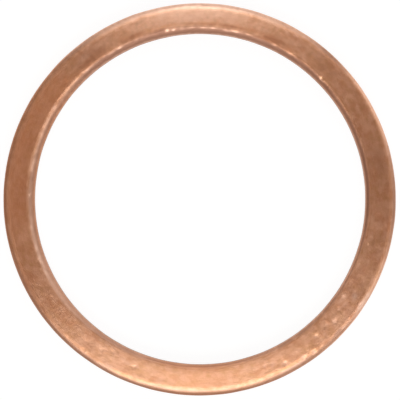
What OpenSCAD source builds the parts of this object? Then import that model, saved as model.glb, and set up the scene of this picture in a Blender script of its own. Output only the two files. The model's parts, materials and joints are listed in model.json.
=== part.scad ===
// Flat copper sealing ring for a drain plug, punched in one piece from soft sheet.
// It lies on its lower face: that face is Z = 0, and Z runs along the ring's axis.
// All sizes are in millimetres.

/* [Ring] */
// Diameter of the hole at its burnished land, for a plug thread of the same nominal size
bore_d = 27; // [12:0.5:48]
// Width of the ring, from the hole's land to the outer wall's land
ring_w = 2.5; // [2:0.1:6]
// Thickness between the two sealing faces
thickness = 2; // [1.5:0.1:3]

/* [Die roll] */
// How far the rolled outer edge reaches across the upper face
outer_roll_w = 0.75; // [0.2:0.05:0.9]
// How far the rolled edge of the hole reaches across the upper face
bore_roll_w = 0.7; // [0.2:0.05:0.9]
// Depth of a rolled edge for each millimetre of its width
roll_slope = 0.6; // [0.4:0.05:0.65]

/* [Sheared walls] */
// Share of each wall, between its two rounded edges, that is smooth burnished land
land_share = 0.7; // [0.3:0.05:0.9]
// How far the torn lower part of each wall stands back from its land
break_out = 0.06; // [0:0.01:0.1]
// Radius that tumbling leaves on the two edges of the lower face
tumbled_r = 0.16; // [0.05:0.01:0.25]

/* [Hidden] */
// Straight steps in each quarter of a rounded edge
edge_steps = 8;
quarter_turn = 90;
// Steps of the full turn that a preview draws
turn_steps = 240;
copper = [0.78, 0.52, 0.37];

bore_r = bore_d / 2;
outer_r = bore_r + ring_w;
outer_roll_h = outer_roll_w * roll_slope;
bore_roll_h = bore_roll_w * roll_slope;

// Height at which a wall's land ends and its torn part begins, under a roll of this depth
function tear_z(roll_h) = tumbled_r + (thickness - roll_h - tumbled_r) * (1 - land_share);

// Points of a quarter of an ellipse about centre, from the angle start on, anticlockwise
function rounded_edge(centre, width, height, start) = [
    for (i = [0 : edge_steps])
        let (angle = start + quarter_turn * i / edge_steps)
            [centre.x + width * cos(angle), centre.y + height * sin(angle)]
];

// The upper edge of the outer wall, drawn down by the die before it cuts
function outer_roll() =
    rounded_edge([outer_r - outer_roll_w, thickness - outer_roll_h], outer_roll_w, outer_roll_h, 0);

// The upper edge of the hole, drawn down by the punch before it cuts
function bore_roll() =
    rounded_edge([bore_r + bore_roll_w, thickness - bore_roll_h], bore_roll_w, bore_roll_h, 90);

// The lower edges, where the metal parted last and the burr has been tumbled off
function bore_lower_edge() =
    rounded_edge([bore_r + break_out + tumbled_r, tumbled_r], tumbled_r, tumbled_r, 180);
function outer_lower_edge() =
    rounded_edge([outer_r - break_out - tumbled_r, tumbled_r], tumbled_r, tumbled_r, 270);

// Half of a cut through the ring: X is the distance from the axis, and Y the height.
// Each wall has a roll, an upright land and a torn part that leans back from the land.
module ring_section() {
    polygon(concat(
        outer_roll(),
        bore_roll(),
        [[bore_r, tear_z(bore_roll_h)]],
        bore_lower_edge(),
        outer_lower_edge(),
        [[outer_r, tear_z(outer_roll_h)]]
    ));
}

module seal_ring() {
    color(copper)
        rotate_extrude($fn = turn_steps)
            ring_section();
}

seal_ring();
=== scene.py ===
"""Dresses the flat copper sealing ring for its photograph: tumbled metal, lying on white."""
import json
import math

import bmesh
import bpy
from mathutils import Matrix, Vector, noise


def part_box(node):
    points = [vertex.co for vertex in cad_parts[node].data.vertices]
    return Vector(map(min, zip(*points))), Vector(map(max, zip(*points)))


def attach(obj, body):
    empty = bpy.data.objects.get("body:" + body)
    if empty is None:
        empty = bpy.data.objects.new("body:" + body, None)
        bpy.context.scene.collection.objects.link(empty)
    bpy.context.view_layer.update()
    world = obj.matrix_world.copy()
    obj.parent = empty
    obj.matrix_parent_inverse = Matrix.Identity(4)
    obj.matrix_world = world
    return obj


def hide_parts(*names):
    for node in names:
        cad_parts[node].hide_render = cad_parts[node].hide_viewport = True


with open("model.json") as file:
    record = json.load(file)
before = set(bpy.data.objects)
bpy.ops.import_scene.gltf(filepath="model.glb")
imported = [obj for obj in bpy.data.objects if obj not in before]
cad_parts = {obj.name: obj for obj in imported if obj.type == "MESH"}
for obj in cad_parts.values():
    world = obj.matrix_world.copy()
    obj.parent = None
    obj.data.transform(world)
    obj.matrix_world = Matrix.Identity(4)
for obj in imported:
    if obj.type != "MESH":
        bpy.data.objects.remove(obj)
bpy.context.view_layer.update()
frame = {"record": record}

MM = 0.001

# The ring's own sizes, read from the frame. Its shape is worked out in millimetres throughout
OUTER_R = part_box("seal_ring")[1][0] / MM
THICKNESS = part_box("seal_ring")[1][2] / MM
BORE_R = next(m for m in frame["record"]["mounts"] if m["name"] == "bore")["dims"]["r_mm"]
MID_R = (BORE_R + OUTER_R) / 2

# The punched section, as in the part's source
OUTER_ROLL_W = 0.75
BORE_ROLL_W = 0.70
ROLL_SLOPE = 0.6
OUTER_ROLL_DEPTH = OUTER_ROLL_W * ROLL_SLOPE
BORE_ROLL_DEPTH = BORE_ROLL_W * ROLL_SLOPE
LAND_SHARE = 0.7
BREAK_OUT = 0.06
TUMBLED_R = 0.16

# How finely the section is divided: steps of its round edges, and cuts across its straight stretches
ROLL_STEPS = 16
TUMBLED_STEPS = 4
FACE_CUTS = 14
LAND_CUTS = 3
TORN_CUTS = 3
UNDERSIDE_CUTS = 4
# The steps of the arc that is spun, and how often it is doubled to close the turn
ARC_STEPS = 20
DOUBLINGS = 6
# Points closer than this are one
MERGE_DISTANCE = 0.002
# How far two heights may differ and still be the same
TOUCH = 1e-6

# How wide each rolled edge really is, at every 30 degrees from +X: the punch met the sheet a little askew
OUTER_ROLL_WIDTHS = (0.54, 0.43, 0.61, 0.62, 0.62, 0.62, 0.58, 0.58, 0.66, 0.74, 0.78, 0.46)
BORE_ROLL_WIDTHS = (0.45, 0.52, 0.58, 0.58, 0.60, 0.67, 0.64, 0.54, 0.34, 0.34, 0.34, 0.34)
# Depth for each millimetre of width, and the power of the curve: the outer roll is even, and that of
# the hole turns quickly from the face and then flattens
OUTER_ROLL_FORM = (0.6, 2.0)
BORE_ROLL_FORM = (0.8, 1.5)
# How far the face falls from the hole to the outer wall, how much lower its two edges lie than its
# middle, and how much more that is at the back
DISHING = 0.10
CROWN = 0.015
BACK_CROWN = 0.078
# How strongly, and over what width, the face eases down toward the hole at the front
EASING = 0.06
EASED_W = 0.80
# How far the hole lies off the middle, and how far from a wall the wall's own unevenness reaches
HOLE_OFF_X = 0.04
HOLE_OFF_Y = 0.025
WALL_REACH = 0.5

# Layers of unevenness: the size of each, its slice of the noise, and its frequency for each millimetre.
# Sizes are millimetres, or shares of the width for the rolls and of a full mark for the tint
ROLL_WAVER = ((0.06, 5.0, 1.1), (0.05, 9.0, 0.35))
BORE_ROLL_WAVER = ((0.08, 3.0, 1.5),)
FACE_LUMPS = ((0.005, 1.0, 1.3), (0.002, 2.0, 3.0))
SCUFFED_LUMPS = ((0.005, 9.0, 2.4),)
BATTERED_LUMPS = ((0.0025, 7.0, 2.3),)
TEAR_WAVER = ((0.10, 0.0, 0.8), (0.05, 3.0, 2.5))
WALL_WAVER = ((0.012, 8.0, 0.7),)
BACK_MOTTLING = ((0.30, 13.0, 3.0),)
PAINTED_GLINT_SPOTS = ((1.0, 11.0, 1.3),)
# Pale spots, painted as glints on knocked metal, lie where that noise is above this level
SPOT_LEVEL = 0.1

# Faint ridges round the ring: height, slice, and frequency for each radian round it and each millimetre
# across
RIDGE_HEIGHT = 0.002
RIDGE_SLICE = 6.0
RIDGES_ROUND = 8.0
RIDGES_ACROSS = 3.0

# Scratches aslant: their depth everywhere, how much deeper they are where the face is scuffed, their slice
# and frequency, and how slowly they change along their length
SLANT_DEPTH = 0.001
SCUFF_DEPTH = 0.007
SLANT_SLICE = 4.0
SLANT_FREQUENCY = 2.2
SLANT_STRETCH = 0.4
# Near the square root of a half, which turns X and Y to the diagonals
DIAGONAL = 0.7

# Roughness of the torn parts: its depth and frequency, and how slowly it changes with height
TORN_DEPTH = 0.035
TORN_FREQUENCY = 4.0
TORN_STRETCH = 0.5

# Areas of wear: azimuth in degrees, radius, reach and strength
SCUFFED = ((240, 14.75, 1.8, 1.0),)
BATTERED = ((305, 14.75, 2.2, 1.0), (325, 14.75, 1.8, 1.0))
# The last areas hold the pale spots painted as glints on knocked metal
KNOCKS_WITH_PAINTED_GLINTS = ((240, 14.75, 1.9, 0.63), (300, 14.90, 1.7, 0.9), (321, 14.75, 1.7, 0.9))

# A dent, mark or patch has faded away at this many half lengths from its middle
SPOT_REACH = 4

# Small dents from tumbling: azimuth in degrees, radius, half length round the ring, half width and depth
DENTS = (
    (44.7, 14.00, 0.12, 0.10, 0.035),
    (98.5, 14.00, 0.13, 0.10, 0.030),
    (100.9, 14.00, 0.13, 0.10, 0.030),
    (178.8, 13.88, 0.15, 0.09, 0.025),
    (189.6, 13.88, 0.20, 0.09, 0.025),
    (200.9, 13.90, 0.14, 0.10, 0.050),
    (232.3, 15.50, 0.20, 0.12, 0.020),
    (236.9, 14.60, 0.26, 0.12, 0.012),
    (239.9, 14.30, 0.26, 0.12, 0.012),
    (248.6, 14.66, 0.20, 0.14, 0.026),
    (291.3, 14.58, 0.16, 0.13, 0.010),
    (293.9, 14.65, 0.18, 0.13, 0.010),
    (297.5, 15.10, 0.22, 0.17, 0.026),
    (303.3, 15.48, 0.24, 0.12, 0.022),
    (307.1, 15.55, 0.26, 0.12, 0.024),
    (310.4, 14.67, 0.20, 0.17, 0.024),
    (315.1, 14.58, 0.28, 0.16, 0.009),
    (318.0, 14.86, 0.26, 0.17, 0.020),
    (321.7, 14.43, 0.14, 0.16, 0.012),
    (324.7, 14.60, 0.24, 0.14, 0.010),
    (326.0, 14.14, 0.20, 0.19, 0.009),
    (326.7, 15.80, 0.35, 0.12, 0.030),
    (330.2, 15.80, 0.35, 0.12, 0.030),
    (344.8, 14.20, 0.14, 0.12, 0.014),
)

# Marks on the metal, set by comparing renders with the photo. Each has its azimuth in degrees, radius,
# half length round the ring, half width, and strength, which is above 0 for brown ones and below 0 for
# bright bare ones. The brown ones are partly real stains and partly painted shade that dims the rolled
# edges' highlights. The bright ones are painted highlights and glints, in dashes along the edges and on
# knocks
MARKS_AND_PAINTED_LIGHT = (
    (5.3, 14.06, 0.30, 0.12, -0.25),
    (12.0, 14.90, 1.70, 0.70, 0.55),
    (18.8, 13.90, 0.40, 0.10, -0.35),
    (26.3, 15.58, 0.30, 0.13, 0.35),
    (32.0, 13.97, 0.40, 0.18, -0.3),
    (36.8, 15.57, 0.35, 0.12, 0.35),
    (41.8, 14.00, 0.40, 0.07, -0.3),
    (44.0, 14.50, 1.40, 0.50, 0.35),
    (44.6, 13.95, 0.28, 0.14, -1.0),
    (47.0, 15.84, 2.20, 0.20, 0.95),
    (47.2, 15.40, 0.30, 0.12, -0.25),
    (48.0, 14.90, 1.10, 0.60, 0.45),
    (50.3, 13.90, 0.40, 0.10, -0.3),
    (54.8, 14.06, 0.30, 0.12, 0.35),
    (58.2, 13.99, 0.50, 0.13, -0.8),
    (59.3, 15.45, 0.26, 0.16, -0.6),
    (63.3, 14.45, 1.60, 0.40, 0.75),
    (64.1, 13.98, 0.24, 0.11, -0.8),
    (64.8, 14.26, 0.45, 0.10, 0.5),
    (66.0, 14.36, 1.00, 0.14, 0.3),
    (67.6, 15.56, 0.60, 0.14, -0.7),
    (68.0, 14.27, 0.60, 0.10, 0.4),
    (68.5, 14.02, 0.80, 0.12, 0.4),
    (73.5, 14.02, 0.20, 0.08, -0.65),
    (75.7, 14.06, 0.25, 0.10, 0.4),
    (77.8, 13.97, 0.36, 0.11, -0.9),
    (78.8, 14.58, 0.40, 0.25, -0.3),
    (79.5, 14.31, 1.30, 0.14, 0.8),
    (80.2, 13.88, 0.30, 0.09, -0.6),
    (80.4, 14.07, 0.25, 0.08, 0.35),
    (80.5, 14.48, 1.30, 0.25, 0.3),
    (82.0, 13.93, 0.24, 0.07, -0.4),
    (85.6, 14.00, 0.28, 0.07, -0.85),
    (86.3, 14.24, 0.30, 0.12, 0.35),
    (89.1, 14.00, 0.22, 0.08, -0.7),
    (89.3, 14.47, 0.30, 0.14, -0.3),
    (90.0, 14.31, 1.40, 0.13, 0.7),
    (90.8, 14.06, 0.25, 0.10, 0.3),
    (92.3, 14.96, 0.35, 0.18, -0.3),
    (92.6, 14.00, 0.24, 0.07, -0.45),
    (95.3, 13.90, 0.25, 0.09, -0.4),
    (96.0, 14.38, 1.40, 0.14, 0.25),
    (96.9, 14.07, 0.20, 0.10, 0.35),
    (97.0, 15.40, 0.35, 0.12, -0.3),
    (98.8, 13.97, 0.14, 0.08, -1.2),
    (100.9, 13.99, 0.14, 0.10, -1.2),
    (101.3, 15.40, 0.30, 0.12, -0.5),
    (102.0, 15.10, 0.70, 0.30, -0.25),
    (103.0, 14.22, 0.90, 0.10, 0.5),
    (105.0, 14.02, 1.00, 0.12, 0.4),
    (107.3, 15.48, 0.30, 0.18, 0.3),
    (109.0, 15.22, 0.30, 0.18, 0.4),
    (110.3, 14.00, 0.45, 0.07, -0.2),
    (110.3, 15.58, 0.40, 0.15, -0.6),
    (111.0, 14.45, 1.60, 0.35, 0.45),
    (112.5, 14.38, 1.30, 0.14, 0.35),
    (113.0, 14.25, 0.90, 0.10, 0.4),
    (114.8, 13.90, 0.35, 0.10, 0.3),
    (117.4, 15.60, 1.20, 0.13, -0.5),
    (118.0, 13.93, 0.22, 0.08, -0.8),
    (120.0, 14.11, 0.80, 0.10, -0.6),
    (120.9, 13.92, 0.30, 0.10, -0.6),
    (122.3, 14.08, 0.25, 0.10, 0.4),
    (122.4, 15.50, 0.25, 0.15, -0.4),
    (123.6, 14.00, 0.26, 0.07, -0.3),
    (124.0, 14.24, 1.00, 0.09, 0.15),
    (126.0, 14.60, 2.10, 0.60, 0.75),
    (127.0, 13.98, 0.40, 0.14, -0.4),
    (130.5, 13.97, 0.40, 0.10, -0.95),
    (131.0, 14.43, 1.80, 0.22, 0.4),
    (132.4, 14.10, 0.90, 0.10, -0.5),
    (134.0, 15.58, 1.80, 0.20, 0.45),
    (136.4, 13.99, 0.38, 0.07, -0.7),
    (140.8, 13.98, 0.45, 0.08, -0.7),
    (144.5, 13.97, 0.25, 0.10, 0.4),
    (147.9, 14.01, 0.24, 0.12, -1.0),
    (152.6, 13.96, 0.60, 0.07, -0.6),
    (154.0, 14.10, 2.20, 0.10, -0.45),
    (157.0, 13.72, 3.60, 0.09, 0.4),
    (157.4, 13.95, 0.35, 0.07, -0.4),
    (160.0, 15.56, 5.00, 0.18, 0.5),
    (161.0, 13.93, 0.12, 0.07, -0.6),
    (164.2, 13.93, 0.14, 0.07, -0.6),
    (168.6, 13.92, 0.45, 0.07, -0.6),
    (170.0, 14.10, 1.50, 0.10, -0.3),
    (178.8, 13.88, 0.15, 0.07, -0.5),
    (189.3, 13.87, 0.22, 0.08, -0.7),
    (190.0, 15.56, 5.00, 0.16, 0.45),
    (191.0, 14.50, 1.00, 0.60, -0.2),
    (192.0, 13.68, 2.00, 0.08, 0.3),
    (196.4, 13.88, 0.24, 0.09, -1.0),
    (200.4, 13.90, 0.22, 0.13, -1.2),
    (201.9, 13.94, 0.25, 0.10, 0.25),
    (202.0, 14.03, 3.40, 0.14, -0.25),
    (203.0, 13.70, 3.00, 0.09, 0.15),
    (205.4, 13.88, 0.22, 0.08, -0.9),
    (207.8, 14.96, 0.30, 0.15, 0.25),
    (209.0, 15.54, 1.90, 0.20, 0.6),
    (209.0, 13.91, 4.60, 0.11, -0.75),
    (215.3, 14.96, 0.30, 0.15, 0.3),
    (215.3, 15.57, 0.40, 0.12, 0.5),
    (218.3, 14.47, 0.30, 0.18, 0.3),
    (222.0, 15.54, 1.40, 0.20, 0.5),
    (225.8, 15.56, 0.25, 0.13, -0.4),
    (227.3, 14.96, 0.30, 0.15, 0.3),
    (230.0, 15.48, 1.20, 0.25, 0.2),
    (233.2, 15.46, 0.22, 0.14, -0.7),
    (234.0, 14.75, 0.60, 0.60, 0.2),
    (234.8, 14.06, 0.25, 0.12, -0.4),
    (236.3, 14.47, 0.20, 0.14, 0.3),
    (237.0, 15.50, 1.80, 0.25, 0.35),
    (237.8, 13.90, 0.30, 0.12, -0.5),
    (239.3, 14.26, 0.25, 0.15, 0.35),
    (239.3, 14.48, 0.25, 0.12, -0.3),
    (239.3, 14.96, 0.25, 0.15, 0.35),
    (243.8, 14.83, 0.30, 0.25, -0.35),
    (246.0, 15.18, 0.60, 0.22, 0.3),
    (246.2, 14.56, 0.35, 0.20, -0.55),
    (248.2, 14.24, 0.30, 0.15, -0.35),
    (248.8, 14.58, 0.24, 0.14, -0.5),
    (249.8, 15.48, 0.30, 0.15, 0.3),
    (251.3, 15.20, 0.25, 0.14, 0.45),
    (255.8, 13.90, 0.30, 0.10, -0.4),
    (258.0, 15.14, 0.60, 0.20, 0.25),
    (262.5, 14.24, 0.50, 0.15, -0.3),
    (267.8, 13.90, 0.40, 0.10, -0.4),
    (268.0, 15.45, 7.50, 0.25, 0.12),
    (276.0, 15.14, 0.60, 0.20, 0.25),
    (279.8, 15.58, 0.30, 0.12, 0.25),
    (291.3, 14.58, 0.16, 0.14, -0.6),
    (292.5, 15.60, 0.60, 0.15, 0.3),
    (292.6, 14.06, 0.50, 0.12, 0.4),
    (293.9, 14.65, 0.20, 0.14, -0.6),
    (297.6, 15.02, 0.20, 0.16, -0.8),
    (297.8, 15.22, 0.25, 0.14, -0.3),
    (299.5, 15.56, 0.60, 0.18, 0.15),
    (302.3, 15.04, 0.20, 0.12, 0.2),
    (303.0, 15.38, 0.22, 0.12, -0.9),
    (303.9, 15.58, 0.22, 0.12, 0.5),
    (304.0, 14.30, 2.60, 0.45, 0.25),
    (306.8, 15.50, 0.22, 0.18, -1.5),
    (307.3, 15.12, 0.18, 0.14, 0.5),
    (309.3, 15.46, 1.30, 0.26, 0.6),
    (309.6, 15.54, 0.18, 0.08, -0.6),
    (310.2, 14.66, 0.24, 0.18, -0.8),
    (311.2, 14.12, 0.18, 0.14, 0.3),
    (311.3, 15.57, 0.25, 0.12, 0.35),
    (312.9, 14.94, 0.18, 0.15, -0.5),
    (314.0, 15.50, 0.20, 0.16, -0.5),
    (314.5, 14.98, 0.14, 0.12, 0.3),
    (315.4, 14.53, 0.18, 0.15, -0.5),
    (315.7, 15.60, 0.80, 0.17, 0.75),
    (317.8, 14.83, 0.20, 0.18, -0.8),
    (318.4, 15.71, 0.22, 0.09, -0.7),
    (318.8, 14.47, 0.25, 0.13, 0.3),
    (320.0, 15.10, 1.60, 0.40, -0.25),
    (321.7, 14.43, 0.16, 0.14, -0.6),
    (322.3, 15.58, 0.70, 0.16, 0.25),
    (323.8, 14.15, 0.30, 0.20, -0.45),
    (324.4, 14.62, 0.36, 0.18, -0.6),
    (325.2, 13.93, 0.16, 0.10, 0.3),
    (325.5, 15.46, 0.65, 0.10, 0.6),
    (325.6, 14.82, 0.10, 0.18, 0.2),
    (326.2, 14.12, 0.24, 0.20, -0.65),
    (326.6, 14.95, 0.25, 0.15, -0.3),
    (326.7, 15.72, 0.42, 0.18, -1.5),
    (329.0, 15.50, 1.80, 0.12, -0.4),
    (329.9, 15.40, 0.55, 0.13, 0.9),
    (330.2, 15.76, 0.24, 0.13, -1.0),
    (332.3, 13.98, 0.30, 0.15, -0.3),
    (332.3, 15.30, 0.25, 0.25, -0.35),
    (337.5, 13.92, 0.50, 0.12, -0.35),
    (337.5, 14.60, 0.90, 0.60, -0.2),
    (339.0, 15.58, 0.60, 0.14, -0.25),
    (342.8, 14.00, 0.30, 0.15, -0.35),
    (344.8, 14.20, 0.14, 0.12, -0.4),
    (345.0, 15.70, 1.60, 0.13, 0.4),
    (345.8, 13.90, 0.30, 0.10, -0.3),
    (346.0, 14.56, 0.36, 0.10, 0.6),
    (351.0, 14.35, 1.60, 0.45, -0.2),
    (351.8, 15.32, 0.35, 0.20, -0.3),
    (358.0, 15.64, 2.00, 0.13, 0.3),
)

# How warm the metal's colour is round the ring, at every 30 degrees, and in single patches laid out as
# the marks are: annealing left it more orange above 0 and greyer below
WARMTH = (0.0, 0.0, -0.2, -0.8, -0.3, 0.7, 0.7, 0.2, -0.1, 0.4, 0.0, 0.0)
PATCHES = (
    (15.0, 14.70, 1.50, 1.20, -0.2),
    (64.0, 14.40, 1.40, 0.28, 0.6),
    (84.0, 14.35, 1.90, 0.40, 0.3),
    (98.0, 14.33, 8.50, 0.17, 0.4),
    (129.0, 14.35, 1.60, 0.30, 0.6),
    (129.5, 14.80, 1.20, 0.80, -0.4),
    (138.0, 14.70, 1.50, 0.90, 0.2),
    # The patches near radius 13.8 and 15.4 to 15.7 lie on the rolled edges and tint their highlights:
    # painted highlight colour
    (177.0, 13.80, 11.00, 0.25, -1.0),
    (241.7, 15.48, 0.50, 0.18, -0.9),
    (246.5, 15.57, 1.00, 0.12, 1.4),
    (266.0, 15.57, 4.50, 0.20, -0.8),
    (296.8, 15.42, 0.70, 0.12, 1.4),
    (299.0, 15.62, 1.20, 0.10, -0.8),
    (316.5, 15.57, 0.60, 0.15, -0.9),
    (328.0, 14.90, 0.35, 0.35, -0.9),
    (328.0, 15.70, 1.40, 0.20, -0.6),
)

# How dull and brown the two rolled edges are, at every 30 degrees, or below 0 how pale. This is painted
# light, set round the ring to the strength of each edge's highlights: painted shade where it dims and
# browns them, and a painted highlight where it makes them pale
BORE_EDGE_PAINTED_LIGHT = (1.10, 0.95, 1.45, 1.70, 1.25, 0.40, 0.05, 0.35, 0.75, 1.10, 0.65, -0.10)
OUTER_EDGE_PAINTED_LIGHT = (0.80, -0.30, 0.15, 0.00, 0.30, 0.75, 1.00, 0.85, 1.00, 1.20, 0.75, -0.10)
# Painted shade: how dull and brown the steep part of the hole's edge is all the way round, for the dark
# line where it turns down into the hole
STEEP_PAINTED_SHADE = 0.6
# How much greyer a rolled edge is near its wall, where the tool polished the tint away; the greyer tinge
# also paints the paler colour of the edge's highlights
POLISH_AND_HIGHLIGHT_GREYER = 0.7

# Where each finish of a rolled edge ends, counted from its wall, and over what stretch it fades out,
# both as shares of the edge's width
BURNISHED_END = (1.15, 1.0)
OUTER_POLISH_AND_HIGHLIGHT_END = (0.75, 0.35)
BORE_POLISH_AND_HIGHLIGHT_END = (1.0, 0.35)
OUTER_DULL_END = (0.50, 0.35)
BORE_STEEP_END = (0.4, 0.3)
# The painted shade on the hole's edge ends in two steps, each with its share of the whole
BORE_DULL_ENDS = ((0.6, (1.3, 0.5)), (0.4, (0.8, 0.4)))

# The finish below the rolled edges, in the shares that finish_at gives
UNDERSIDE_FINISH = (0.0, 0.0, 0.3)
TORN_FINISH = (0.0, 0.0, 1.0)
OUTER_LAND_FINISH = (1.0, 0.0, 0.3)
# The hole's burnished land takes most of the dark torn colour: painted shade in the hole
BORE_LAND_SHADED_FINISH = (1.0, 0.0, 0.9)

# Colours of the metal: the face's two hues, its paler mottling, its warmest and greyest tinge, then
# stained, bare and torn metal, with greyish kinds of the first two for where the tinge is greyer. The
# stain colour also paints shade on the rolled edges, the bare one also paints their highlights and glints,
# and the torn one also paints shade on the hole's land
REDDER_FACE = (0.826, 0.391, 0.216, 1)
YELLOWER_FACE = (0.814, 0.415, 0.219, 1)
PALE_FACE = (0.98, 0.54, 0.340, 1)
ORANGE_FACE = (1.0, 0.42, 0.20, 1)
GREYISH_FACE = (0.86, 0.54, 0.40, 1)
STAIN_AND_SHADE = (0.48, 0.212, 0.115, 1)
GREYISH_STAIN_AND_SHADE = (0.47, 0.245, 0.165, 1)
BARE_AND_GLINT = (1.0, 0.60, 0.42, 1)
GREYISH_BARE_AND_GLINT = (1.0, 0.67, 0.51, 1)
DARK_TORN = (0.23, 0.120, 0.075, 1)
LIGHT_TORN = (0.38, 0.205, 0.135, 1)

# The warmth at which the face is fully orange or greyish, and at which marks are fully greyish
ORANGE_AT = 1.5
GREYISH_AT = -1.5
MARKS_GREYISH_AT = -1.0

# Noises in the metal: frequency for each millimetre or unit, detail and roughness
HUE_NOISE = (0.8, 3.0, 0.55)
MOTTLING_NOISE = (1.7, 4.0, 0.55)
STREAK_NOISE = (1.0, 3.0, 0.55)
LAY_NOISE = (1.0, 3.0, 0.6)
PIT_NOISE = (4.0, 4.0, 0.6)
GRAIN_NOISE = (9.0, 3.0, 0.65)
SHEEN_NOISE = (2.0, 3.0, 0.5)
# Frequencies of the noises that follow the ring: for each radian round it, and each millimetre across
STREAK_STRETCH = (16.0, 2.6)
LAY_STRETCH = (9.0, 9.0)
# Between which values of a noise its two colours blend
HUE_BLEND = (0.38, 0.62)
MOTTLING_BLEND = (0.72, 1.28)
GRAIN_BLEND = (-0.2, 0.2)
# Between which shares of tearing the metal turns grainy
GRAINY = (0.92, 1.0)
# Between which shares of burnishing the sheen turns from the face's to a rolled edge's
ROLL_SHEEN = (0.0, 0.4)

# How deep the lay, the tumbling pits and the torn grain look
LAY_DEPTH = 0.006
PIT_DEPTH = 0.012
GRAIN_DEPTH = 0.09

FACE_ROUGHNESS = 0.35
FACE_ANISOTROPY = 0.65
# A quarter turn from the way round the ring, because highlights stretch across the lay
ACROSS_LAY = 0.25


def rounded_edge(centre_r, centre_z, width, height, start, steps):
    """Points of a quarter of an ellipse in the plane of the section, anticlockwise from the angle start."""
    turns = [math.radians(start + 90 * i / steps) for i in range(steps + 1)]
    return [Vector((centre_r + width * math.cos(a), 0, centre_z + height * math.sin(a))) for a in turns]


def rolled_edge(centre_r, width, start):
    """Points of one of the two rolled edges of the upper face."""
    depth = width * ROLL_SLOPE
    return rounded_edge(centre_r, THICKNESS - depth, width, depth, start, ROLL_STEPS)


def tumbled_edge(centre_r, start):
    """Points of one of the two small round edges of the lower face."""
    return rounded_edge(centre_r, TUMBLED_R, TUMBLED_R, TUMBLED_R, start, TUMBLED_STEPS)


def tear_height(roll_depth):
    """Where a wall's burnished land ends and its torn part begins."""
    return TUMBLED_R + (THICKNESS - roll_depth - TUMBLED_R) * (1 - LAND_SHARE)


def section_outline():
    """The corners of half a cut through the ring, each with the number of cuts in the stretch after it."""
    stretches = (
        (rolled_edge(OUTER_R - OUTER_ROLL_W, OUTER_ROLL_W, 0), FACE_CUTS),
        (rolled_edge(BORE_R + BORE_ROLL_W, BORE_ROLL_W, 90), LAND_CUTS),
        ([Vector((BORE_R, 0, tear_height(BORE_ROLL_DEPTH)))], TORN_CUTS),
        (tumbled_edge(BORE_R + BREAK_OUT + TUMBLED_R, 180), UNDERSIDE_CUTS),
        (tumbled_edge(OUTER_R - BREAK_OUT - TUMBLED_R, 270), TORN_CUTS),
        ([Vector((OUTER_R, 0, tear_height(OUTER_ROLL_DEPTH)))], LAND_CUTS),
    )
    corners = []
    for points, cuts_after in stretches:
        corners.extend((point, 0) for point in points[:-1])
        corners.append((points[-1], cuts_after))
    return corners


def spun_ring():
    """The section drawn as a loop of edges, its long stretches divided, and turned once about the axis."""
    bm = bmesh.new()
    outline = section_outline()
    verts = [bm.verts.new(point) for point, _ in outline]
    edges = [bm.edges.new((v, verts[(i + 1) % len(verts)])) for i, v in enumerate(verts)]
    for edge, (_, cuts) in zip(edges, outline):
        if cuts:
            bmesh.ops.subdivide_edges(bm, edges=[edge], cuts=cuts)
    # A short arc is spun, and doubled until it closes, because one long spin takes a minute
    arc = math.tau / 2 ** DOUBLINGS
    bmesh.ops.spin(
        bm, geom=bm.verts[:] + bm.edges[:], cent=(0, 0, 0), axis=(0, 0, 1), dvec=(0, 0, 0),
        angle=arc, steps=ARC_STEPS, use_merge=False, use_duplicate=False,
    )
    for _ in range(DOUBLINGS):
        made = bmesh.ops.duplicate(bm, geom=bm.verts[:] + bm.edges[:] + bm.faces[:])["geom"]
        copied = [item for item in made if isinstance(item, bmesh.types.BMVert)]
        bmesh.ops.rotate(bm, verts=copied, cent=(0, 0, 0), matrix=Matrix.Rotation(arc, 3, "Z"))
        arc *= 2
    bmesh.ops.remove_doubles(bm, verts=bm.verts, dist=MERGE_DISTANCE)
    bmesh.ops.recalc_face_normals(bm, faces=bm.faces)
    return bm


def clamped(value, low=0.0, high=1.0):
    """The value, kept within low and high."""
    return max(low, min(high, value))


def polar(place):
    """The radius and the azimuth of a place on the ring."""
    return math.hypot(place.x, place.y), math.atan2(place.y, place.x) % math.tau


def lump(x, y, z, frequency):
    """A smooth bumpy field between about -1 and 1, the same at every run. Each z is a slice of it."""
    return noise.noise(Vector((x * frequency, y * frequency, z * frequency)))


def layered(layers, x, y):
    """The sum at a place of layers of unevenness."""
    return sum(size * lump(x, y, z, frequency) for size, z, frequency in layers)


def around(values, azimuth):
    """The value at an azimuth from values evenly spaced round the ring, eased from each to the next."""
    place = azimuth / math.tau * len(values)
    before = math.floor(place)
    share = place - before
    share = share * share * (3 - 2 * share)
    low, high = values[before % len(values)], values[(before + 1) % len(values)]
    return low + (high - low) * share


def area_share(areas, x, y):
    """How worn a place is by areas of wear. Each falls off smoothly, to 0 at a few times its reach."""
    total = 0.0
    for degrees, radius, reach, strength in areas:
        a = math.radians(degrees)
        away = (x - radius * math.cos(a)) ** 2 + (y - radius * math.sin(a)) ** 2
        total += strength * math.exp(-away / (2 * reach * reach))
    return total


def laid_out(spots, radius, azimuth):
    """The sum at a place of soft spots, as in the tables of dents, marks and patches."""
    total = 0.0
    for degrees, at_radius, half_length, half_width, strength in spots:
        turn = (azimuth - math.radians(degrees) + math.pi) % math.tau - math.pi
        along = turn * at_radius
        if abs(along) < SPOT_REACH * half_length:
            across = radius - at_radius
            total += strength * math.exp(-((along / half_length) ** 2 + (across / half_width) ** 2))
    return total


def roll_fall(inward, width, form):
    """How far a rolled edge of this width has fallen, at a distance inward from its wall."""
    if inward >= width:
        return 0.0
    slope, power = form
    across = 1 - max(inward, 0.0) / width
    return width * slope * (1 - (1 - across ** power) ** (1 / power))


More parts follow.
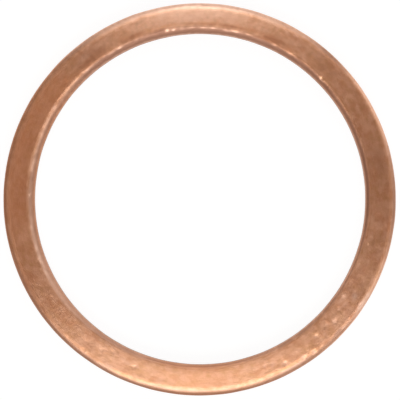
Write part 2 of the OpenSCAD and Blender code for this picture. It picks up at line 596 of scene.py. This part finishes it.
def rolled_edges_fall(radius, azimuth, x, y):
    """How far the two rolled edges take the upper side down at a place."""
    waver = 1 + layered(ROLL_WAVER, x, y)
    outer_width = around(OUTER_ROLL_WIDTHS, azimuth) * waver
    bore_width = around(BORE_ROLL_WIDTHS, azimuth) * (waver + layered(BORE_ROLL_WAVER, x, y))
    fall = roll_fall(OUTER_R - radius, outer_width, OUTER_ROLL_FORM)
    return fall + roll_fall(radius - BORE_R, bore_width, BORE_ROLL_FORM)


def face_fall(radius, azimuth):
    """How far the face's easing toward the hole, its dishing and its crown take it down at a place."""
    from_bore = radius - BORE_R
    # At the front, the face already eases down a little before the hole's roll
    fall = EASING * max(0.0, -math.sin(azimuth)) * max(0.0, EASED_W - from_bore) ** 2
    fall += DISHING * from_bore / (OUTER_R - BORE_R)
    crown = CROWN + BACK_CROWN * max(0.0, math.sin(azimuth))
    return fall + crown * ((radius - MID_R) / (OUTER_R - MID_R)) ** 2


def wear_fall(radius, azimuth, x, y):
    """How far unevenness and wear lower the upper side at a place, or below 0 how far they raise it."""
    fall = layered(FACE_LUMPS, x, y)
    fall += RIDGE_HEIGHT * lump(azimuth * RIDGES_ROUND, radius * RIDGES_ACROSS, RIDGE_SLICE, 1.0)
    # Scuffed aslant at the lower left and battered at the lower right
    scuffed = area_share(SCUFFED, x, y)
    slant, across = (x - y) * DIAGONAL, (x + y) * DIAGONAL
    scratch = lump(slant * SLANT_STRETCH, across, SLANT_SLICE, SLANT_FREQUENCY)
    fall += (SLANT_DEPTH + SCUFF_DEPTH * scuffed) * scratch
    fall += scuffed * layered(SCUFFED_LUMPS, x, y)
    fall += area_share(BATTERED, x, y) * layered(BATTERED_LUMPS, x, y)
    return fall + laid_out(DENTS, radius, azimuth)


def upper_fall(radius, azimuth):
    """How far below the ring's full height its upper side lies."""
    x, y = radius * math.cos(azimuth), radius * math.sin(azimuth)
    fall = rolled_edges_fall(radius, azimuth, x, y) + face_fall(radius, azimuth)
    return fall + wear_fall(radius, azimuth, x, y)


def worn(point):
    """Where a point of the even, spun section lies on the real ring."""
    radius, azimuth = polar(point)
    height = point.z
    outer = radius > MID_R
    wall_r = OUTER_R if outer else BORE_R
    roll_depth = OUTER_ROLL_DEPTH if outer else BORE_ROLL_DEPTH
    shoulder = THICKNESS - roll_depth
    tear = tear_height(roll_depth)
    if height >= shoulder - TOUCH:
        height = THICKNESS - upper_fall(radius, azimuth)
    elif height > TUMBLED_R + TOUCH:
        # The land and the torn part are stretched to meet the shoulder, and the line between them wavers
        real_shoulder = THICKNESS - upper_fall(wall_r, azimuth)
        real_tear = tear + layered(TEAR_WAVER, point.x, point.y)
        if height >= tear:
            height = real_tear + (height - tear) / (shoulder - tear) * (real_shoulder - real_tear)
        else:
            height = TUMBLED_R + (height - TUMBLED_R) / (tear - TUMBLED_R) * (real_tear - TUMBLED_R)
            torn = 1 - abs(2 * (height - TUMBLED_R) / (real_tear - TUMBLED_R) - 1)
            radius += TORN_DEPTH * torn * lump(point.x, point.y, height * TORN_STRETCH, TORN_FREQUENCY)
    # Neither wall is perfectly round, and the hole is a hair off the middle
    at_wall = max(0.0, 1 - abs(wall_r - radius) / WALL_REACH)
    radius += at_wall * layered(WALL_WAVER, point.x, point.y)
    if not outer:
        radius += at_wall * (HOLE_OFF_X * math.cos(azimuth) + HOLE_OFF_Y * math.sin(azimuth))
    return Vector((radius * math.cos(azimuth), radius * math.sin(azimuth), height))


def across_roll(radius, azimuth):
    """How far a place is across the nearer rolled edge: 0 at its wall, and 1 where the face begins."""
    if radius > MID_R:
        return (OUTER_R - radius) / around(OUTER_ROLL_WIDTHS, azimuth)
    return (radius - BORE_R) / around(BORE_ROLL_WIDTHS, azimuth)


def fading(across, end_and_fade):
    """1 by the wall of a rolled edge, falling to 0 where a finish ends."""
    end, fade = end_and_fade
    return clamped((end - across) / fade)


def warmth_at(place):
    """How orange the metal's tinge is at a place, or below 0 how greyish."""
    radius, azimuth = polar(place)
    polish_and_highlight_end = OUTER_POLISH_AND_HIGHLIGHT_END if radius > MID_R else BORE_POLISH_AND_HIGHLIGHT_END
    polish_and_highlight = fading(across_roll(radius, azimuth), polish_and_highlight_end)
    return around(WARMTH, azimuth) + laid_out(PATCHES, radius, azimuth) - POLISH_AND_HIGHLIGHT_GREYER * polish_and_highlight


def edge_painted_light(across, azimuth, outer):
    """How dull and brown a rolled edge is before its marks: painted shade on its highlights, and below 0 a
    pale painted highlight.
    """
    if outer:
        return around(OUTER_EDGE_PAINTED_LIGHT, azimuth) * fading(across, OUTER_DULL_END)
    dull = sum(share * fading(across, end) for share, end in BORE_DULL_ENDS)
    steep = fading(across, BORE_STEEP_END)
    return dull * around(BORE_EDGE_PAINTED_LIGHT, azimuth) * (1 - steep) + STEEP_PAINTED_SHADE * steep


def finish_at(place, first_height):
    """Three shares for the finish at a place: burnished; stained and painted shade, or below 0 scraped and
    painted highlights; and torn, which on the hole's land is painted shade.
    """
    radius, azimuth = polar(place)
    outer = radius > MID_R
    roll_depth = OUTER_ROLL_DEPTH if outer else BORE_ROLL_DEPTH
    if first_height < TUMBLED_R:
        return UNDERSIDE_FINISH
    if first_height < tear_height(roll_depth) - TOUCH:
        return TORN_FINISH
    if first_height < THICKNESS - roll_depth - TOUCH:
        return OUTER_LAND_FINISH if outer else BORE_LAND_SHADED_FINISH
    across = across_roll(radius, azimuth)
    # At the lower right, and less at the lower left, pale spots are painted as glints on the knocked face
    spots = max(0.0, layered(PAINTED_GLINT_SPOTS, place.x, place.y) - SPOT_LEVEL)
    # Toward the back the tint is more mottled
    mottled = max(0.0, math.sin(azimuth)) * layered(BACK_MOTTLING, place.x, place.y)
    stain_and_painted_light = edge_painted_light(across, azimuth, outer) + mottled + laid_out(MARKS_AND_PAINTED_LIGHT, radius, azimuth)
    stain_and_painted_light -= area_share(KNOCKS_WITH_PAINTED_GLINTS, place.x, place.y) * spots
    return fading(across, BURNISHED_END), clamped(stain_and_painted_light, -1.0, 1.0), 0.0


def wear(bm):
    """Turns the even ring into the real one, and notes each vertex's finish, with its painted shade and
    highlights, and warmth of colour.
    """
    finish = bm.verts.layers.float_color.new("finish")
    warmth = bm.verts.layers.float.new("warmth")
    for v in bm.verts:
        first_height = v.co.z
        v.co = worn(v.co)
        v[finish] = (*finish_at(v.co, first_height), 1.0)
        v[warmth] = warmth_at(v.co)
    bmesh.ops.scale(bm, vec=(MM, MM, MM), verts=bm.verts)


def to_object(bm, name, material, smooth=True):
    """Makes an object at the origin of a finished mesh, with one material."""
    mesh = bpy.data.meshes.new(name)
    bm.to_mesh(mesh)
    bm.free()
    for polygon in mesh.polygons:
        polygon.use_smooth = smooth
    mesh.materials.append(material)
    piece = bpy.data.objects.new(name, mesh)
    bpy.context.scene.collection.objects.link(piece)
    return piece


class Graph:
    """A material's node tree, with short calls for the nodes that the finishes share."""

    def __init__(self, name):
        self.material = bpy.data.materials.new(name)
        self.material.use_nodes = True
        self.tree = self.material.node_tree
        self.tree.nodes.clear()

    def add(self, kind, **settings):
        node = self.tree.nodes.new(kind)
        for key, value in settings.items():
            setattr(node, key, value)
        return node

    def join(self, source, target):
        if isinstance(source, (int, float, tuple)):
            target.default_value = source
        else:
            self.tree.links.new(source, target)

    def join_all(self, sources, targets):
        for source, target in zip(sources, targets):
            self.join(source, target)

    def math(self, operation, *values):
        node = self.add("ShaderNodeMath", operation=operation)
        self.join_all(values, node.inputs)
        return node.outputs[0]

    def times(self, a, b):
        return self.math("MULTIPLY", a, b)

    def plus(self, a, b):
        return self.math("ADD", a, b)

    def plus_shares(self, start, shares):
        """The sum of start and of each share times its amount."""
        total = start
        for share, amount in shares:
            total = self.plus(total, self.times(share, amount))
        return total

    def ramp(self, value, low, high):
        """0 where value is low and 1 where it is high, eased between them."""
        node = self.add("ShaderNodeMapRange", interpolation_type="SMOOTHSTEP")
        self.join(value, node.inputs["Value"])
        self.join(low, node.inputs["From Min"])
        self.join(high, node.inputs["From Max"])
        return node.outputs["Result"]

    def attribute(self, name, output):
        return self.add("ShaderNodeAttribute", attribute_name=name).outputs[output]

    def noise(self, vector, scale, detail, roughness):
        node = self.add("ShaderNodeTexNoise")
        self.join(vector, node.inputs["Vector"])
        self.join(scale, node.inputs["Scale"])
        self.join(detail, node.inputs["Detail"])
        self.join(roughness, node.inputs["Roughness"])
        return node.outputs["Fac"]

    def level_noise(self, vector, settings):
        """A noise about 0."""
        return self.math("SUBTRACT", self.noise(vector, *settings), 0.5)

    def blend(self, factor, a, b):
        """A mix of two colours."""
        node = self.add("ShaderNodeMix", data_type="RGBA")
        self.join(factor, node.inputs["Factor"])
        self.join(a, node.inputs[6])
        self.join(b, node.inputs[7])
        return node.outputs[2]

    def vector(self, *parts):
        node = self.add("ShaderNodeCombineXYZ")
        self.join_all(parts, node.inputs)
        return node.outputs[0]

    def bump(self, height, depth_mm, before=None):
        node = self.add("ShaderNodeBump")
        self.join(1.0, node.inputs["Strength"])
        self.join(depth_mm * MM, node.inputs["Distance"])
        self.join(height, node.inputs["Height"])
        if before is not None:
            self.join(before, node.inputs["Normal"])
        return node.outputs[0]

    def finished(self, surface):
        """The material, once this is its surface."""
        output = self.add("ShaderNodeOutputMaterial")
        self.join(surface, output.inputs["Surface"])
        return self.material


def ring_place(g):
    """The place on the ring in millimetres, its direction from the axis in X and in Y, and its radius."""
    in_mm = g.add("ShaderNodeVectorMath", operation="SCALE")
    g.join(g.add("ShaderNodeTexCoord").outputs["Object"], in_mm.inputs[0])
    g.join(1 / MM, in_mm.inputs["Scale"])
    spot = in_mm.outputs[0]
    split = g.add("ShaderNodeSeparateXYZ")
    g.join(spot, split.inputs[0])
    x, y, _ = split.outputs
    radius = g.math("SQRT", g.plus(g.times(x, x), g.times(y, y)))
    return spot, g.math("DIVIDE", x, radius), g.math("DIVIDE", y, radius), radius


def following_ring(g, east, north, radius, stretch):
    """Where a noise that follows the ring is read."""
    each_radian, each_mm = stretch
    return g.vector(g.times(east, each_radian), g.times(north, each_radian), g.times(radius, each_mm))


def upper_side_colour(g, spot, streaks, warmth, stain_and_shade, scrape_and_glint):
    """Patches of hue and paler mottling, then the tinge, then brown stains and painted shade, then bright
    bare metal and painted highlights.
    """
    face = g.blend(g.ramp(g.noise(spot, *HUE_NOISE), *HUE_BLEND), REDDER_FACE, YELLOWER_FACE)
    mottling = g.plus(g.noise(spot, *MOTTLING_NOISE), g.noise(streaks, *STREAK_NOISE))
    face = g.blend(g.ramp(mottling, *MOTTLING_BLEND), face, PALE_FACE)
    face = g.blend(g.ramp(warmth, 0.0, ORANGE_AT), face, ORANGE_FACE)
    face = g.blend(g.ramp(warmth, 0.0, GREYISH_AT), face, GREYISH_FACE)
    greyish = g.ramp(warmth, 0.0, MARKS_GREYISH_AT)
    colour = g.blend(stain_and_shade, face, g.blend(greyish, STAIN_AND_SHADE, GREYISH_STAIN_AND_SHADE))
    return g.blend(scrape_and_glint, colour, g.blend(greyish, BARE_AND_GLINT, GREYISH_BARE_AND_GLINT))


def tumbled_copper():
    """Annealed copper: brown and reddish mottling, tumbled rolls, and darker sheared walls, with painted
    shade and highlights on the rolled edges and painted shade on the hole's wall.
    """
    g = Graph("tumbled_copper")
    spot, east, north, radius = ring_place(g)
    streaks = following_ring(g, east, north, radius, STREAK_STRETCH)
    lay = g.noise(following_ring(g, east, north, radius, LAY_STRETCH), *LAY_NOISE)

    # What the mesh notes of each place
    warmth = g.attribute("warmth", "Fac")
    shares = g.add("ShaderNodeSeparateColor")
    g.join(g.attribute("finish", "Color"), shares.inputs[0])
    # The second share is stains and painted shade above 0, and painted highlights below 0; the torn share
    # is also painted shade on the hole's land
    burnished, stain_and_painted_light, torn = shares.outputs
    stain_and_shade = g.math("MAXIMUM", stain_and_painted_light, 0.0)
    scrape_and_glint = g.math("MAXIMUM", g.times(stain_and_painted_light, -1.0), 0.0)
    on_roll = g.ramp(burnished, *ROLL_SHEEN)

    grain = g.times(g.level_noise(spot, GRAIN_NOISE), g.ramp(torn, *GRAINY))
    torn_colour = g.blend(g.ramp(grain, *GRAIN_BLEND), DARK_TORN, LIGHT_TORN)
    colour = g.blend(torn, upper_side_colour(g, spot, streaks, warmth, stain_and_shade, scrape_and_glint), torn_colour)

    # The lay runs down the walls as streaks
    normal = g.bump(lay, LAY_DEPTH)
    normal = g.bump(g.noise(spot, *PIT_NOISE), PIT_DEPTH, normal)
    normal = g.bump(grain, GRAIN_DEPTH, normal)

    sheen = g.level_noise(spot, SHEEN_NOISE)
    roughness = g.plus_shares(
        FACE_ROUGHNESS, ((on_roll, 0.03), (sheen, 0.16), (stain_and_shade, 0.12), (scrape_and_glint, 0.14), (torn, 0.2)),
    )
    shader = g.add("ShaderNodeBsdfPrincipled")
    g.join(colour, shader.inputs["Base Color"])
    g.join(1.0, shader.inputs["Metallic"])
    g.join(roughness, shader.inputs["Roughness"])
    g.join(normal, shader.inputs["Normal"])
    anisotropy = g.plus_shares(FACE_ANISOTROPY, ((on_roll, -0.3), (scrape_and_glint, -0.5)))
    g.join(anisotropy, shader.inputs["Anisotropic"])
    g.join(ACROSS_LAY, shader.inputs["Anisotropic Rotation"])
    tangent = g.add("ShaderNodeTangent", direction_type="RADIAL", axis="Z")
    g.join(tangent.outputs[0], shader.inputs["Tangent"])
    return g.finished(shader.outputs[0])


# The table, in metres: half its width, and how far it lies below the ring. Then its colour, and how much
# of its look is a plain glow, and how strong that is
TABLE_HALF_W = 2.0
TABLE_DROP = 0.01 * MM
TABLE_WHITE = (0.9, 0.9, 0.9, 1)
GLOW_SHARE = 0.85
GLOW_STRENGTH = 1.08


def white_table():
    """White card: white to the camera and in the metal, with a faint part of the ring's shadow."""
    g = Graph("white_table")
    card = g.add("ShaderNodeBsdfDiffuse")
    g.join(TABLE_WHITE, card.inputs["Color"])
    glow = g.add("ShaderNodeEmission")
    g.join((1, 1, 1, 1), glow.inputs["Color"])
    g.join(GLOW_STRENGTH, glow.inputs["Strength"])
    ray = g.add("ShaderNodeLightPath")
    seen = g.math("MAXIMUM", ray.outputs["Is Camera Ray"], ray.outputs["Is Glossy Ray"])
    seen = g.math("MAXIMUM", seen, ray.outputs["Is Transmission Ray"])
    mix = g.add("ShaderNodeMixShader")
    g.join_all((g.times(seen, GLOW_SHARE), card.outputs[0], glow.outputs[0]), mix.inputs)
    return g.finished(mix.outputs[0])


def lay_table():
    """The table that the ring lies on, which isn't part of it."""
    bm = bmesh.new()
    bmesh.ops.create_grid(bm, x_segments=1, y_segments=1, size=TABLE_HALF_W)
    bmesh.ops.translate(bm, verts=bm.verts, vec=(0, 0, -TABLE_DROP))
    to_object(bm, "table", white_table(), smooth=False)


# The lamps: name, azimuth, degrees from straight above, width and height in metres, and brightness
SOFTBOXES = (
    ("front_softbox", 268.5, 34, 0.22, 0.15, 2.55),
    ("low_front_softbox", 272, 60, 0.30, 0.09, 0.70),
    ("front_right_softbox", 334, 56, 0.10, 0.14, 1.15),
    ("back_softbox", 91, 43, 0.08, 0.19, 2.35),
    ("low_back_softbox", 85, 64, 0.34, 0.16, 0.62),
    ("right_softbox", 30, 65, 0.16, 0.14, 1.0),
    ("left_softbox", 168, 36, 0.16, 0.10, 0.37),
)
LAMP_DISTANCE = 0.25
LAMP_TINT = (0.95, 1, 1.02)
# The dim light between the lamps
STUDIO_AIR = (0.240, 0.178, 0.148, 1)


def softbox(name, azimuth, from_above, width, height, radiance):
    """A rectangular lamp that faces the ring, as bright as radiance."""
    a, p = math.radians(azimuth), math.radians(from_above)
    away = Vector((math.sin(p) * math.cos(a), math.sin(p) * math.sin(a), math.cos(p)))
    lamp = bpy.data.lights.new(name, "AREA")
    lamp.shape = "RECTANGLE"
    lamp.size, lamp.size_y = width, height
    lamp.energy = math.pi * width * height * radiance
    lamp.color = LAMP_TINT
    holder = bpy.data.objects.new(name, lamp)
    # Local Y points away from the floor, so width runs level
    level = Vector((-math.sin(a), math.cos(a), 0))
    facing = Matrix((level, away.cross(level), away)).transposed().to_quaternion()
    holder.matrix_world = Matrix.LocRotScale(away * LAMP_DISTANCE, facing, None)
    holder.visible_camera = False
    bpy.context.scene.collection.objects.link(holder)


def light_studio():
    """The lamps and the world round them."""
    for lamp in SOFTBOXES:
        softbox(*lamp)
    world = bpy.data.worlds.new("studio_air")
    world.use_nodes = True
    background = world.node_tree.nodes["Background"]
    background.inputs["Color"].default_value = STUDIO_AIR
    background.inputs["Strength"].default_value = 1.0
    bpy.context.scene.world = world


# The camera looks straight down from this height in metres. The ring's outline is as large in the square
# frame as in the photo, and as far off its middle
CAMERA_HEIGHT = 0.35
SENSOR = 36.0
NEAREST = 0.01
FARTHEST = 10.0
FRAME_PX = 400
RING_R_PX = 196.15
RING_OFF_CENTRE_PX = (-0.35, 0.58)
# The height of the ring's outline, on its outer wall
SILHOUETTE_Z = 1.5 * MM


def place_camera():
    """The camera, with the lens that gives the ring its size in the frame."""
    px_per_m = RING_R_PX / (OUTER_R * MM)
    off_x, off_y = RING_OFF_CENTRE_PX
    data = bpy.data.cameras.new("camera")
    data.sensor_width = SENSOR
    data.lens = px_per_m * (CAMERA_HEIGHT - SILHOUETTE_Z) * SENSOR / FRAME_PX
    data.clip_start = NEAREST
    data.clip_end = FARTHEST
    camera = bpy.data.objects.new("camera", data)
    camera.location = (-off_x / px_per_m, -off_y / px_per_m, CAMERA_HEIGHT)
    bpy.context.scene.collection.objects.link(camera)
    bpy.context.scene.camera = camera


def make_ring():
    """The ring itself, in place of its plain solid."""
    bm = spun_ring()
    wear(bm)
    ring = to_object(bm, "copper_ring", tumbled_copper())
    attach(ring, "root")
    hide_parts("seal_ring")


place_camera()
make_ring()
lay_table()
light_studio()
bpy.context.scene.view_settings.view_transform = "Standard"
